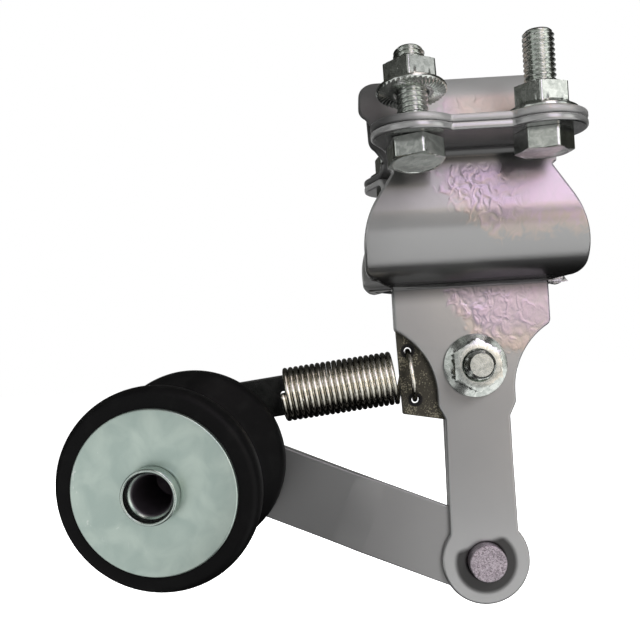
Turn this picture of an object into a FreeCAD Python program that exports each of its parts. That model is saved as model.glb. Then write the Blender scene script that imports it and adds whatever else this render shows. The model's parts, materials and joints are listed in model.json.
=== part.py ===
import FreeCAD, Part
import math
import os
import Sketcher
from FreeCAD import Placement, Rotation, Vector

# Chain tensioner: a spring-loaded roller arm hung from a saddle clamp.
# Origin on the axis of the lower clamp saddle. +X runs along the clamped tube,
# -Y is the side that carries the roller, +Z is up.

# Driving sizes in millimetres and degrees

SIZES = {
    # pressed sheets of the clamp
    "sheet_gauge": 2.0,
    "saddle_radius": 19.6,
    "plate_gap": 3.2,
    "bend_radius": 1.5,
    "root_radius": 2.0,
    "flange_height": 14.6,
    "cap_centre": 18.9,
    "neck_half": 21.0,
    "neck_height": 10.0,
    "blank_half": 54.0,
    "wing_corner": 3.2,
    "front_left_wing": 29.6,
    "front_left_sweep": 23.0,
    "front_left_widest": -9.6,
    "front_left_drop": 17.3,
    "front_right_wing": 31.3,
    "front_right_sweep": 30.0,
    "front_right_widest": -14.4,
    "front_right_drop": 18.4,
    "rear_left_wing": 29.9,
    "rear_left_sweep": 23.0,
    "rear_left_widest": -14.0,
    "rear_left_drop": 20.5,
    "rear_right_wing": 28.3,
    "rear_right_sweep": 23.0,
    "rear_right_widest": -14.0,
    "rear_right_drop": 20.5,
    "cap_neck_height": 21.0,
    "cap_wing_half": 27.2,
    "cap_skew_angle": 6.0,
    "cap_wing_base": 24.0,
    "cap_corner": 7.0,
    # flange ears and the four clamp bolts
    "ear_radius": 11.0,
    "bolt_pitch": 32.0,
    "bolt_reach": 33.0,
    "waist_lead": 7.0,
    "bolt_play": 0.7,
    # hanging plates
    "plate_half": 22.0,
    "plate_corner": 2.0,
    "shoulder_radius": 21.1,
    "shoulder_half": 11.05,
    "shoulder_drop": 50.0,
    "step_drop": 53.2,
    "leg_top_drop": 57.0,
    "leg_half": 9.2,
    "leg_foot_half": 9.6,
    "eye_radius": 12.4,
    "cross_drop": 42.4,
    "pivot_drop": 97.4,
    # hexagon bolts and flange nuts
    "thread_radius": 4.0,
    "thread_chamfer": 0.8,
    "thread_fit": 0.05,
    "hex_across": 13.0,
    "head_height": 5.3,
    "hex_chamfer": 0.5,
    "clamp_bolt_length": 25.0,
    "cross_bolt_length": 20.0,
    "nut_height": 7.2,
    "nut_flange_radius": 8.95,
    "nut_flange_rim": 1.2,
    "nut_cone_height": 2.6,
    "loose_lean_angle": 9.4,
    "loose_drop": 1.2,
    "loose_nut_rise": 13.1,
    # pivot of the arm
    "pin_radius": 5.2,
    "pin_fit": 0.05,
    "pin_stand_out": 4.5,
    "pin_head_radius": 8.0,
    "pin_head_height": 3.0,
    "pin_chamfer": 0.5,
    "bush_wall": 1.4,
    "running_fit": 0.06,
    # swing arm
    "arm_gauge": 3.0,
    "arm_width": 21.0,
    "arm_length": 85.6,
    "arm_rise_angle": 23.4,
    "arm_end_margin": 0.5,
    "twist_start": 33.0,
    "twist_length": 10.0,
    "arm_twist_angle": 7.0,
    "arm_set_angle": 2.8,
    "ear_lift": 13.6,
    "ear_back": 2.0,
    "ear_round": 6.0,
    # spring, its link and its bracket
    "wire_radius": 0.75,
    "coil_radius": 6.95,
    "coil_pitch": 1.56,
    "open_turn": 4.2,
    "last_turn_angle": 250.0,
    "tang_reach": 3.2,
    "hole_play": 0.35,
    "hole_inset": 3.45,
    "link_gauge": 2.0,
    "link_width": 11.4,
    "link_length": 20.8,
    "link_entry": 4.0,
    "link_angle": 29.7,
    "link_hole_radius": 1.2,
    "rivet_radius": 2.5,
    "rivet_head_radius": 4.2,
    "rivet_head_height": 1.4,
    "rivet_face_radius": 2.9,
    "bracket_left": 21.3,
    "bracket_top_drop": 30.5,
    "bracket_bottom_drop": 55.0,
    "bracket_slant_angle": 1.8,
    "bracket_fall_angle": 10.7,
    "bracket_lip_half": 9.0,
    # roller and its hollow axle
    "axle_radius": 6.2,
    "axle_bore": 4.7,
    "bore_depth": 22.0,
    "collar_radius": 6.75,
    "collar_length": 3.6,
    "mouth_radius": 6.0,
    "mouth_depth": 2.2,
    "axle_head_radius": 7.5,
    "axle_head_height": 1.2,
    "washer_radius": 9.0,
    "washer_gauge": 2.0,
    "end_play": 0.3,
    "disc_radius": 20.1,
    "disc_gauge": 1.5,
    "disc_fit": 0.25,
    "roller_bush_wall": 1.6,
    "roller_bush_length": 13.0,
    "core_wall": 2.0,
    "rubber_width": 42.4,
    "rim_radius": 25.1,
    "rim_land": 3.6,
    "rim_round": 2.4,
    "rim_ease": 0.7,
    "waist_radius": 17.2,
    "waist_width": 13.0,
}

doc = FreeCAD.newDocument("chain_tensioner")
sheet = doc.addObject("Spreadsheet::Sheet", "Sizes")
for row, (alias, number) in enumerate(SIZES.items(), 1):
    sheet.set(f"A{row}", alias)
    sheet.set(f"B{row}", str(number))
    sheet.setAlias(f"B{row}", alias)
doc.recompute()


def size(alias):
    return float(sheet.get(alias))


# Sketching helpers


def start_body(label):
    body = doc.addObject("PartDesign::Body", label)
    body.Label = label
    return body


def add_sketch(body, role, label, lift=0.0):
    """Sketch on an origin plane of its body, lifted along the plane's normal."""
    sketch = body.newObject("Sketcher::SketchObject", f"{body.Name}_{label}")
    planes = [feature for feature in body.Origin.OriginFeatures if feature.Role == role]
    sketch.AttachmentSupport = [(planes[0], "")]
    sketch.MapMode = "FlatFace"
    sketch.AttachmentOffset = Placement(Vector(0, 0, lift), Rotation())
    return sketch


def tilt_sketch(sketch, target):
    """Turns a sketch plane so that it lies in the target placement of its body."""
    doc.recompute()
    sketch.AttachmentOffset = sketch.Placement.inverse() * target * sketch.Placement


def place_point(sketch, geometry, corner, across, up):
    """Ties a sketched point to two expressions, measured from the sketch's origin."""
    for kind, axis, text in (("DistanceX", -2, across), ("DistanceY", -1, up)):
        if text == "0":
            sketch.addConstraint(Sketcher.Constraint("PointOnObject", geometry, corner, axis))
        else:
            index = sketch.addConstraint(Sketcher.Constraint(kind, -1, 1, geometry, corner, 1.0))
            sketch.setExpression(f"Constraints[{index}]", text)


def draw_polygon(sketch, corners):
    """Closed outline of straight lines whose corners are pairs of expressions."""
    count = len(corners)
    first = sketch.GeometryCount
    angles = [2 * math.pi * i / count for i in range(count)]
    ring = [Vector(math.cos(angle), math.sin(angle), 0) for angle in angles]
    for i in range(count):
        sketch.addGeometry(Part.LineSegment(ring[i], ring[(i + 1) % count]))
    for i in range(count):
        sketch.addConstraint(Sketcher.Constraint("Coincident", first + i, 2, first + (i + 1) % count, 1))
    for i, (across, up) in enumerate(corners):
        place_point(sketch, first + i, 1, across, up)


def draw_circle(sketch, across, up, radius):
    """Circle whose centre and radius are expressions."""
    index = sketch.addGeometry(Part.Circle(Vector(0, 0, 0), Vector(0, 0, 1), 1.0))
    place_point(sketch, index, 3, across, up)
    tie = sketch.addConstraint(Sketcher.Constraint("Radius", index, 1.0))
    sketch.setExpression(f"Constraints[{tie}]", radius)


def draw_hexagon(sketch, across_flats):
    """Hexagon about the sketch's origin with two flats square to its second axis."""
    apothem = f"{across_flats} / 2"
    corner = f"{across_flats} / sqrt(3)"
    half = f"{across_flats} / sqrt(12)"
    draw_polygon(sketch, [
        (corner, "0"),
        (half, apothem),
        (f"-{half}", apothem),
        (f"-{corner}", "0"),
        (f"-{half}", f"-{apothem}"),
        (half, f"-{apothem}"),
    ])


class Outline:
    """Closed outline of lines and arcs, drawn point by point."""

    def __init__(self, x, y):
        self.start = Vector(x, y, 0)
        self.here = self.start
        self.curves = []

    def line(self, x, y):
        end = Vector(x, y, 0)
        if end.distanceToPoint(self.here) > 1e-6:
            self.curves.append(Part.LineSegment(self.here, end))
            self.here = end

    def arc(self, centre, radius, start_angle, end_angle):
        """Arc about a centre from one angle to another, in degrees; draws the line that leads to it."""
        angles = [start_angle, (start_angle + end_angle) / 2, end_angle]
        points = [Vector(centre[0] + radius * math.cos(math.radians(angle)),
                         centre[1] + radius * math.sin(math.radians(angle)), 0) for angle in angles]
        self.line(points[0].x, points[0].y)
        self.curves.append(Part.Arc(*points))
        self.here = points[2]

    def draw(self, sketch):
        self.line(self.start.x, self.start.y)
        sketch.addGeometry(self.curves, False)


# Feature helpers


def pad(body, sketch, length, midplane=False, backwards=False):
    feature = body.newObject("PartDesign::Pad", f"{sketch.Name}_pad")
    feature.Profile = sketch
    feature.setExpression("Length", length)
    feature.Midplane = midplane
    feature.Reversed = backwards
    return feature


def cut_through(body, sketch):
    """Cuts a sketch through the whole body, both ways."""
    before = body.Shape.Volume
    feature = body.newObject("PartDesign::Pocket", f"{sketch.Name}_cut")
    feature.Profile = sketch
    feature.Type = "ThroughAll"
    feature.Midplane = True
    doc.recompute()
    if body.Shape.Volume >= before:
        raise ValueError(f"{feature.Name} cut nothing")
    return feature


def revolve(body, sketch):
    feature = body.newObject("PartDesign::Revolution", f"{sketch.Name}_turn")
    feature.Profile = sketch
    feature.ReferenceAxis = (sketch, ["V_Axis"])
    feature.Angle = 360
    return feature


def round_edges(body, base, radius, wanted):
    """Fillets the edges of a feature whose midpoint passes the test."""
    doc.recompute()
    names = []
    for number, edge in enumerate(base.Shape.Edges, 1):
        middle = edge.valueAt((edge.FirstParameter + edge.LastParameter) / 2)
        if wanted(edge, middle):
            names.append(f"Edge{number}")
    feature = body.newObject("PartDesign::Fillet", f"{base.Name}_round")
    feature.Base = (base, names)
    feature.setExpression("Radius", radius)
    return feature


def turned_piece(label, profile, role="XZ_Plane"):
    """Piece turned about the second axis of a plane, from a list of expression pairs."""
    body = start_body(label)
    sketch = add_sketch(body, role, "profile")
    draw_polygon(sketch, profile)
    revolve(body, sketch)
    return body


# Common sizes worked out from the sheet

gauge = size("sheet_gauge")
half_gap = size("plate_gap") / 2
outer = size("saddle_radius")
inner = outer - gauge
bend = size("bend_radius")
root = size("root_radius")
pivot = Vector(0, 0, -size("pivot_drop"))
face_out = half_gap + gauge


# Clamp brackets


def bracket_section(sketch, side):
    """Section of one bracket across the tube: flange, wall, saddle, bend and hanging plate."""
    reach = size("bolt_reach") + size("waist_lead") + size("ear_radius")
    base = size("flange_height")
    bend_y = face_out + bend
    bend_z = -math.sqrt((outer + bend) ** 2 - bend_y ** 2)
    lean = math.degrees(math.atan2(bend_z, bend_y))
    floor = -(size("pivot_drop") + size("eye_radius"))

    def turned(centre, radius, first, last):
        if side > 0:
            section.arc(centre, radius, first, last)
        else:
            section.arc((-centre[0], centre[1]), radius, 180 - first, 180 - last)

    section = Outline(side * reach, base)
    section.line(side * reach, base + gauge)
    turned((outer + root, base - root), root + gauge, 90, 180)
    turned((0, 0), inner, 0, lean)
    turned((bend_y, bend_z), bend + gauge, 180 + lean, 180)
    section.line(side * half_gap, floor)
    section.line(side * face_out, floor)
    turned((bend_y, bend_z), bend, 180, 180 + lean)
    turned((0, 0), outer, lean, 0)
    turned((outer + root, base - root), root, 180, 90)
    section.draw(sketch)


def side_outline(outline, hand, words):
    """Edge of wing, plate, shoulder and leg from neck to eye on one side, seen along the pivot."""
    wing = size(f"{words}_wing")
    sweep = size(f"{words}_sweep")
    neck = (size("neck_half"), size("neck_height"))
    corner = size("wing_corner")
    plate = size("plate_half")
    shoulder = (size("shoulder_half") + size("shoulder_radius"), -size("shoulder_drop"))
    meet = shoulder[1] + math.sqrt(size("shoulder_radius") ** 2 - (shoulder[0] - plate) ** 2)
    meet_angle = math.degrees(math.atan2(meet - shoulder[1], plate - shoulder[0]))
    flare_centre = (wing - sweep, size(f"{words}_widest"))
    flare = tangent_angle(neck, flare_centre, sweep)
    foot = size("leg_foot_half")
    eye_angle = math.degrees(math.asin(foot / size("eye_radius")))

    steps = [
        ("line", neck),
        ("arc", flare_centre, sweep, flare, 0),
        ("arc", (wing - corner, corner - size(f"{words}_drop")), corner, 0, -90),
        ("line", (plate, -outer)),
        ("line", (plate, meet)),
        ("arc", shoulder, size("shoulder_radius"), meet_angle, 180),
        ("line", (size("shoulder_half"), -size("step_drop"))),
        ("line", (size("leg_half"), -size("leg_top_drop"))),
        ("arc", (0, pivot.z), size("eye_radius"), 90 - eye_angle, -90),
    ]
    if hand > 0:
        draw_steps(outline, steps)
    else:
        draw_steps(outline, mirrored_steps(steps))


def tangent_angle(point, centre, radius):
    """Angle on a circle where a line from an outer point above it touches its far side."""
    away = math.hypot(point[0] - centre[0], point[1] - centre[1])
    bearing = math.degrees(math.atan2(point[1] - centre[1], point[0] - centre[0]))
    return bearing - math.degrees(math.acos(radius / away))


def mirrored_steps(steps):
    """The same steps on the other side, walked the other way."""
    back = []
    for step in reversed(steps):
        if step[0] == "line":
            back.append(("line", (-step[1][0], step[1][1])))
        else:
            kind, centre, radius, first, last = step
            back.append((kind, (-centre[0], centre[1]), radius, 180 - last, 180 - first))
    return back


def draw_steps(outline, steps):
    for step in steps:
        if step[0] == "line":
            outline.line(*step[1])
        else:
            outline.arc(*step[1:])


def front_waste(sketch, side_word):
    """All that is cut away round the wings, plate, leg and eye, seen along the pivot."""
    far = size("blank_half") + size("wing_corner")
    top = size("neck_height")
    floor = pivot.z - 2 * size("eye_radius")
    waste = Outline(far, top)
    side_outline(waste, 1, f"{side_word}_right")
    side_outline(waste, -1, f"{side_word}_left")
    waste.line(-far, top)
    waste.line(-far, floor)
    waste.line(far, floor)
    waste.draw(sketch)


def plan_waste(sketch, side, hand):
    """What is cut away beside the neck and round the ears of one flange, seen from above."""
    radius = size("ear_radius")
    centre = (size("bolt_pitch") / 2, size("bolt_reach"))
    neck = (size("neck_half"), outer - 2 * root)
    far = size("blank_half") + radius
    waist = centre[1] + size("waist_lead")
    drop = math.degrees(math.asin((waist - centre[1]) / radius))
    start = -math.degrees(math.acos((neck[0] - centre[0]) / radius)) / 2
    steps = [
        ("line", neck),
        ("arc", centre, radius, start, 180 - drop),
        ("line", (0, waist)),
        ("line", (0, waist + 2 * radius)),
        ("line", (far, waist + 2 * radius)),
        ("line", (far, 0)),
        ("line", (neck[0], 0)),
    ]
    shape = Outline(hand * neck[0], 0)
    for step in steps:
        if step[0] == "line":
            shape.line(hand * step[1][0], side * step[1][1])
        else:
            kind, middle, curve, first, last = step
            shape.arc(*turned_arc(middle, curve, first, last, hand, side))
    shape.draw(sketch)


def turned_arc(centre, radius, first, last, hand, side):
    """An arc mirrored by the signs of its two axes."""
    if hand < 0:
        first, last = 180 - first, 180 - last
    if side < 0:
        first, last = -first, -last
    return (hand * centre[0], side * centre[1]), radius, first, last


def cut_above(body, sketch, depth):
    """Cuts a sketch upwards by a given depth."""
    before = body.Shape.Volume
    feature = body.newObject("PartDesign::Pocket", f"{sketch.Name}_cut")
    feature.Profile = sketch
    feature.setExpression("Length", depth)
    feature.Reversed = True
    doc.recompute()
    if body.Shape.Volume >= before:
        raise ValueError(f"{feature.Name} cut nothing")
    return feature


def is_cross_edge(edge, middle, places):
    """A straight edge along Y at one of the given places across and up."""
    direction = edge.tangentAt(edge.FirstParameter)
    if abs(direction.y) < 0.99:
        return False
    return any(abs(abs(middle.x) - x) < 0.05 and abs(middle.z - z) < 0.05 for x, z in places)


def clamp_bracket(side_word, side):
    """One pressed half of the clamp with its wings, plate, leg and pivot eye."""
    body = start_body(f"{side_word}_bracket")
    section = add_sketch(body, "YZ_Plane", "section")
    bracket_section(section, side)
    pad(body, section, "2 * Sizes.blank_half", midplane=True)
    doc.recompute()

    front = add_sketch(body, "XZ_Plane", "front")
    front_waste(front, side_word)
    cut_through(body, front)

    for hand, word in ((1, "right"), (-1, "left")):
        plan = add_sketch(body, "XY_Plane", f"plan_{word}", size("neck_height"))
        plan_waste(plan, side, hand)
        cut_above(body, plan, "2 * Sizes.saddle_radius")

    holes = add_sketch(body, "XY_Plane", "bolt_holes")
    reach = "Sizes.bolt_reach" if side > 0 else "-Sizes.bolt_reach"
    for across in ("Sizes.bolt_pitch / 2", "-Sizes.bolt_pitch / 2"):
        draw_circle(holes, across, reach, "Sizes.thread_radius + Sizes.bolt_play")
    cut_through(body, holes)

    bores = add_sketch(body, "XZ_Plane", "bores")
    draw_circle(bores, "0", "-Sizes.cross_drop", "Sizes.thread_radius + Sizes.thread_fit")
    draw_circle(bores, "0", "-Sizes.pivot_drop", "Sizes.pin_radius + Sizes.pin_fit")
    last = cut_through(body, bores)

    curve = size("shoulder_radius")
    inset = size("shoulder_half") + curve - size("plate_half")
    meet = math.sqrt(curve ** 2 - inset ** 2) - size("shoulder_drop")
    corners = [(size("plate_half"), meet), (size("shoulder_half"), -size("step_drop"))]
    round_edges(body, last, "Sizes.plate_corner", lambda edge, middle: is_cross_edge(edge, middle, corners))
    return body


def clamp_cap():
    """The arched cap with a flange of two ears on either side."""
    body = start_body("clamp_cap")
    section = add_sketch(body, "YZ_Plane", "section")
    reach = size("bolt_reach") + size("waist_lead") + size("ear_radius")
    base = size("flange_height") + gauge
    centre = (0, size("cap_centre"))
    bend_z = base + gauge + root
    bend_y = math.sqrt((outer + root) ** 2 - (bend_z - centre[1]) ** 2)
    lift = math.degrees(math.atan2(bend_z - centre[1], bend_y))
    arch = Outline(reach, base)
    arch.arc((bend_y, bend_z), root + gauge, -90, -180 + lift)
    arch.arc(centre, inner, lift, 180 - lift)
    arch.arc((-bend_y, bend_z), root + gauge, -lift, -90)
    arch.line(-reach, base)
    arch.line(-reach, base + gauge)
    arch.arc((-bend_y, bend_z), root, -90, -lift)
    arch.arc(centre, outer, 180 - lift, lift)
    arch.arc((bend_y, bend_z), root, -180 + lift, -90)
    arch.line(reach, base + gauge)
    arch.draw(section)
    pad(body, section, "2 * Sizes.blank_half", midplane=True)
    doc.recompute()

    far = size("blank_half") + size("ear_radius")
    crown = centre[1] + outer
    wing = size("cap_wing_half")
    corner = size("cap_corner")
    foot = size("wing_corner")
    skew = math.radians(size("cap_skew_angle"))
    sides = add_sketch(body, "XZ_Plane", "sides")
    for hand in (1, -1):
        steps = [
            ("line", (size("neck_half") + outer * math.sin(skew), size("cap_neck_height"))),
            ("arc", (wing - foot, size("cap_wing_base") + foot), foot, -60, 0),
            ("arc", (wing - corner, crown - corner), corner, 0, 90),
            ("line", (wing - corner, crown + corner)),
            ("line", (far, crown + corner)),
        ]
        waste = Outline(hand * far, size("cap_neck_height"))
        for step in steps:
            if step[0] == "line":
                waste.line(hand * step[1][0], step[1][1])
            else:
                waste.arc(*turned_arc(*step[1:], hand, 1))
        waste.draw(sides)
    tilt_sketch(sides, Placement(Vector(0, 0, 0), Rotation(Vector(0, 0, 1), -size("cap_skew_angle"))))
    cut_through(body, sides)

    for side, front_word in ((-1, "front"), (1, "rear")):
        for hand, word in ((1, "right"), (-1, "left")):
            plan = add_sketch(body, "XY_Plane", f"plan_{front_word}_{word}")
            plan_waste(plan, side, hand)
            cut_above(body, plan, "Sizes.cap_neck_height")

    holes = add_sketch(body, "XY_Plane", "bolt_holes")
    for reach in ("Sizes.bolt_reach", "-Sizes.bolt_reach"):
        for across in ("Sizes.bolt_pitch / 2", "-Sizes.bolt_pitch / 2"):
            draw_circle(holes, across, reach, "Sizes.thread_radius + Sizes.bolt_play")
    cut_through(body, holes)
    return body


# Bolts and nuts


def chamfer_ring(body, bottom, top, label):
    """Turns the corners of a hexagon down at its free end, from bottom to top expressions."""
    sketch = add_sketch(body, "XZ_Plane", label)
    apothem = "Sizes.hex_across / 2"
    draw_polygon(sketch, [
        (f"{apothem} - Sizes.hex_chamfer", top),
        (f"{apothem} * 2", top),
        (f"{apothem} * 2", bottom),
    ])
    groove = body.newObject("PartDesign::Groove", f"{sketch.Name}_groove")
    groove.Profile = sketch
    groove.ReferenceAxis = (sketch, ["V_Axis"])
    groove.Angle = 360
    return groove


def hexagon_bolt(label, length, place):
    """Bolt with its bearing face at the origin of its placement and its tip along +Z."""
    body = start_body(label)
    shank = add_sketch(body, "XZ_Plane", "shank")
    draw_polygon(shank, [
        ("0", "-Sizes.head_height / 2"),
        ("Sizes.thread_radius", "-Sizes.head_height / 2"),
        ("Sizes.thread_radius", f"{length} - Sizes.thread_chamfer"),
        ("Sizes.thread_radius - Sizes.thread_chamfer", length),
        ("0", length),
    ])
    revolve(body, shank)
    head = add_sketch(body, "XY_Plane", "head")
    draw_hexagon(head, "Sizes.hex_across")
    pad(body, head, "Sizes.head_height", backwards=True)
    doc.recompute()
    chamfer_ring(body, "-Sizes.head_height + Sizes.hex_chamfer * 3", "-Sizes.head_height", "head_ring")
    body.Placement = place
    return body


def flange_nut(label, place):
    """Flange nut with its seat at the origin of its placement and its free end along +Z."""
    body = start_body(label)
    block = add_sketch(body, "XY_Plane", "hexagon")
    draw_hexagon(block, "Sizes.hex_across")
    pad(body, block, "Sizes.nut_height")
    doc.recompute()
    chamfer_ring(body, "Sizes.nut_height - Sizes.hex_chamfer * 3", "Sizes.nut_height", "top_ring")
    flange = add_sketch(body, "XZ_Plane", "flange")
    draw_polygon(flange, [
        ("0", "0"),
        ("Sizes.nut_flange_radius", "0"),
        ("Sizes.nut_flange_radius", "Sizes.nut_flange_rim"),
        ("Sizes.hex_across / 2", "Sizes.nut_cone_height"),
        ("0", "Sizes.nut_cone_height"),
    ])
    revolve(body, flange)
    doc.recompute()
    bore = add_sketch(body, "XY_Plane", "bore")
    draw_circle(bore, "0", "0", "Sizes.thread_radius + Sizes.thread_fit")
    cut_through(body, bore)
    body.Placement = place
    return body


def spin(angle):
    return Rotation(Vector(0, 0, 1), angle)


def clamp_fastener(side_word, side, hand_word, hand, bolt_turn, nut_turn, loose=False):
    """One vertical bolt up through both flanges and the nut on it."""
    seat = size("flange_height")
    top = seat + 2 * gauge
    across = hand * size("bolt_pitch") / 2
    reach = side * size("bolt_reach")
    if loose:
        lean = Rotation(Vector(1, 0, 0), -size("loose_lean_angle"))
        middle = Placement(Vector(across, reach, seat + gauge), lean)
        bolt_place = middle * Placement(Vector(0, 0, -gauge - size("loose_drop")), spin(bolt_turn))
        nut_place = bolt_place * Placement(Vector(0, 0, size("loose_nut_rise")), spin(nut_turn - bolt_turn))
    else:
        bolt_place = Placement(Vector(across, reach, seat), spin(bolt_turn))
        nut_place = Placement(Vector(across, reach, top), spin(nut_turn))
    bolt = hexagon_bolt(f"clamp_bolt_{side_word}_{hand_word}", "Sizes.clamp_bolt_length", bolt_place)
    nut = flange_nut(f"clamp_nut_{side_word}_{hand_word}", nut_place)
    return [bolt, nut]


def cross_fastener():
    """The bolt through both plates and the spring bracket, with its nut on the front."""
    forward = Rotation(Vector(1, 0, 0), 90)
    height = -size("cross_drop")
    bolt_place = Placement(Vector(0, face_out, height), forward)
    nut_place = Placement(Vector(0, -face_out, height), forward * spin(90))
    return [
        hexagon_bolt("cross_bolt", "Sizes.cross_bolt_length", bolt_place),
        flange_nut("cross_nut", nut_place),
    ]


# Pivot


def pivot_pin():
    """Plain headed pin that carries the arm, its end standing out at the front."""
    back = "Sizes.plate_gap / 2 + Sizes.sheet_gauge"
    front = f"-({back} + Sizes.pin_stand_out)"
    body = turned_piece("pivot_pin", [
        ("0", f"{back} + Sizes.pin_head_height"),
        ("Sizes.pin_head_radius - Sizes.pin_chamfer", f"{back} + Sizes.pin_head_height"),
        ("Sizes.pin_head_radius", f"{back} + Sizes.pin_head_height - Sizes.pin_chamfer"),
        ("Sizes.pin_head_radius", back),
        ("Sizes.pin_radius", back),
        ("Sizes.pin_radius", f"{front} + Sizes.pin_chamfer"),
        ("Sizes.pin_radius - Sizes.pin_chamfer", front),
        ("0", front),
    ], "XY_Plane")
    body.Placement = Placement(pivot, Rotation())
    return body


def pivot_bush():
    """Bush between the two plates, on which the arm turns."""
    near = "Sizes.pin_radius + Sizes.pin_fit"
    far = f"{near} + Sizes.bush_wall"
    body = turned_piece("pivot_bush", [
        (near, "-Sizes.plate_gap / 2"),
        (far, "-Sizes.plate_gap / 2"),
        (far, "Sizes.plate_gap / 2"),
        (near, "Sizes.plate_gap / 2"),
    ], "XY_Plane")
    body.Placement = Placement(pivot, Rotation())
    return body


# Swing arm: a flat bar from the pivot, twisted and set back half way along

arm_place = Placement(pivot, Rotation(Vector(0, 1, 0), size("arm_rise_angle")))
end_set = Rotation(Vector(0, 0, 1), -size("arm_set_angle"))
end_turn = end_set * Rotation(Vector(1, 0, 0), size("arm_twist_angle"))
twist_middle = size("twist_start") + size("twist_length") / 2
end_frame = Placement(Vector(-twist_middle, 0, 0), end_turn)
end_length = size("arm_length") - twist_middle
axle_frame = end_frame * Placement(Vector(-end_length, 0, 0), Rotation())
axle_place = arm_place * axle_frame
rivet_frame = axle_frame * Placement(Vector(-size("ear_back"), 0, size("ear_lift")), Rotation())
rivet_place = arm_place * rivet_frame


def swing_arm():
    """The arm, with its bush bore, its axle bore and the ear that holds the spring link."""
    body = start_body("swing_arm")
    half = size("arm_width") / 2
    eye = half + size("arm_end_margin")
    start = -size("twist_start")
    turn_in = math.degrees(math.asin(half / eye))
    near = Outline(start, -half)
    near.arc((0, 0), eye, turn_in - 180, 180 - turn_in)
    near.line(start, half)
    inner_sketch = add_sketch(body, "XZ_Plane", "inner")
    near.draw(inner_sketch)
    draw_circle(inner_sketch, "0", "0",
                "Sizes.pin_radius + Sizes.pin_fit + Sizes.bush_wall + Sizes.running_fit")
    pad(body, inner_sketch, "Sizes.arm_gauge", midplane=True)

    half_twist = size("twist_length") / 2
    stations = []
    for label, target in (("twist_near", Placement(Vector(start, 0, 0), Rotation())),
                          ("twist_far", end_frame * Placement(Vector(-half_twist, 0, 0), Rotation()))):
        section = add_sketch(body, "YZ_Plane", label)
        draw_polygon(section, [
            ("-Sizes.arm_gauge / 2", "-Sizes.arm_width / 2"),
            ("Sizes.arm_gauge / 2", "-Sizes.arm_width / 2"),
            ("Sizes.arm_gauge / 2", "Sizes.arm_width / 2"),
            ("-Sizes.arm_gauge / 2", "Sizes.arm_width / 2"),
        ])
        tilt_sketch(section, target)
        stations.append(section)
    doc.recompute()
    twist = body.newObject("PartDesign::AdditiveLoft", "swing_arm_twist")
    twist.Profile = stations[0]
    twist.Sections = [stations[1]]
    twist.Ruled = True
    doc.recompute()

    outer_sketch = add_sketch(body, "XZ_Plane", "outer")
    end_outline(outer_sketch, -half_twist, -end_length)
    draw_circle(outer_sketch, str(-end_length), "0", "Sizes.axle_radius + Sizes.pin_fit")
    draw_circle(outer_sketch, f"{-end_length} - Sizes.ear_back", "Sizes.ear_lift",
                "Sizes.rivet_radius + Sizes.pin_fit")
    tilt_sketch(outer_sketch, end_frame)
    pad(body, outer_sketch, "Sizes.arm_gauge", midplane=True)
    doc.recompute()
    body.Placement = arm_place
    return body


def end_outline(sketch, start, axle_x):
    """Outer flat of the arm: bar, round end about the axle and ear above it."""
    half = size("arm_width") / 2
    end = half + size("arm_end_margin")
    ear = size("ear_round")
    ear_x = axle_x - size("ear_back")
    ear_z = size("ear_lift")
    spread = math.hypot(ear_x - axle_x, ear_z)
    bearing = math.degrees(math.atan2(ear_z, ear_x - axle_x))
    left = bearing + math.degrees(math.acos((end - ear) / spread))
    low = math.degrees(math.asin(half / end))
    shape = Outline(start, -half)
    shape.arc((axle_x, 0), end, -low, -360 + left)
    shape.arc((ear_x, ear_z), ear, -360 + left, -360)
    shape.line(ear_x + ear, half)
    shape.line(start, half)
    shape.draw(sketch)


# Spring, its link and bracket: the wire starts at the front of the first coil

FRONT_START = 270
QUARTER = 0.25
behind_arm = (size("arm_gauge") + size("link_gauge")) / 2
link_place = (rivet_place * Placement(Vector(0, behind_arm, 0), Rotation())
              * Placement(Vector(0, 0, 0), Rotation(Vector(0, 1, 0), -size("link_angle"))))
spring_start = link_place.multVec(Vector(size("link_length"), 0, 0))
spring_line = Vector(0, 0, -size("cross_drop")) - spring_start
spring_place = Placement(spring_start, Rotation(Vector(1, 0, 0), spring_line))
hole_left = size("hole_inset") - size("bracket_left") - spring_start.x
spring_reach = hole_left / spring_line.x * spring_line.Length
whole_turns = math.floor((spring_reach - size("open_turn")) / size("coil_pitch") - QUARTER)
body_length = (whole_turns + QUARTER) * size("coil_pitch")
open_length = spring_reach - body_length


def spring_link():
    """Flat link riveted behind the arm's ear, its tongue inside the first coils."""
    body = start_body("spring_link")
    half = size("link_width") / 2
    tip = size("link_length") + size("link_entry")
    plate = Outline(0, -half)
    plate.line(tip, -half)
    plate.line(tip, half)
    plate.arc((0, 0), half, 90, 270)
    sketch = add_sketch(body, "XZ_Plane", "plate")
    plate.draw(sketch)
    draw_circle(sketch, "0", "0", "Sizes.rivet_radius + Sizes.pin_fit")
    draw_circle(sketch, "Sizes.link_length", "0", "Sizes.link_hole_radius")
    pad(body, sketch, "Sizes.link_gauge", midplane=True)
    body.Placement = link_place
    return body


def link_rivet():
    """Rivet through the arm's ear and the link, with a flat head on each side."""
    front = "-Sizes.arm_gauge / 2"
    back = "Sizes.arm_gauge / 2 + Sizes.link_gauge"
    body = turned_piece("link_rivet", [
        ("0", f"{front} - Sizes.rivet_head_height"),
        ("Sizes.rivet_face_radius", f"{front} - Sizes.rivet_head_height"),
        ("Sizes.rivet_head_radius", front),
        ("Sizes.rivet_radius", front),
        ("Sizes.rivet_radius", back),
        ("Sizes.rivet_head_radius", back),
        ("Sizes.rivet_face_radius", f"{back} + Sizes.rivet_head_height"),
        ("0", f"{back} + Sizes.rivet_head_height"),
    ], "XY_Plane")
    body.Placement = rivet_place
    return body


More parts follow.
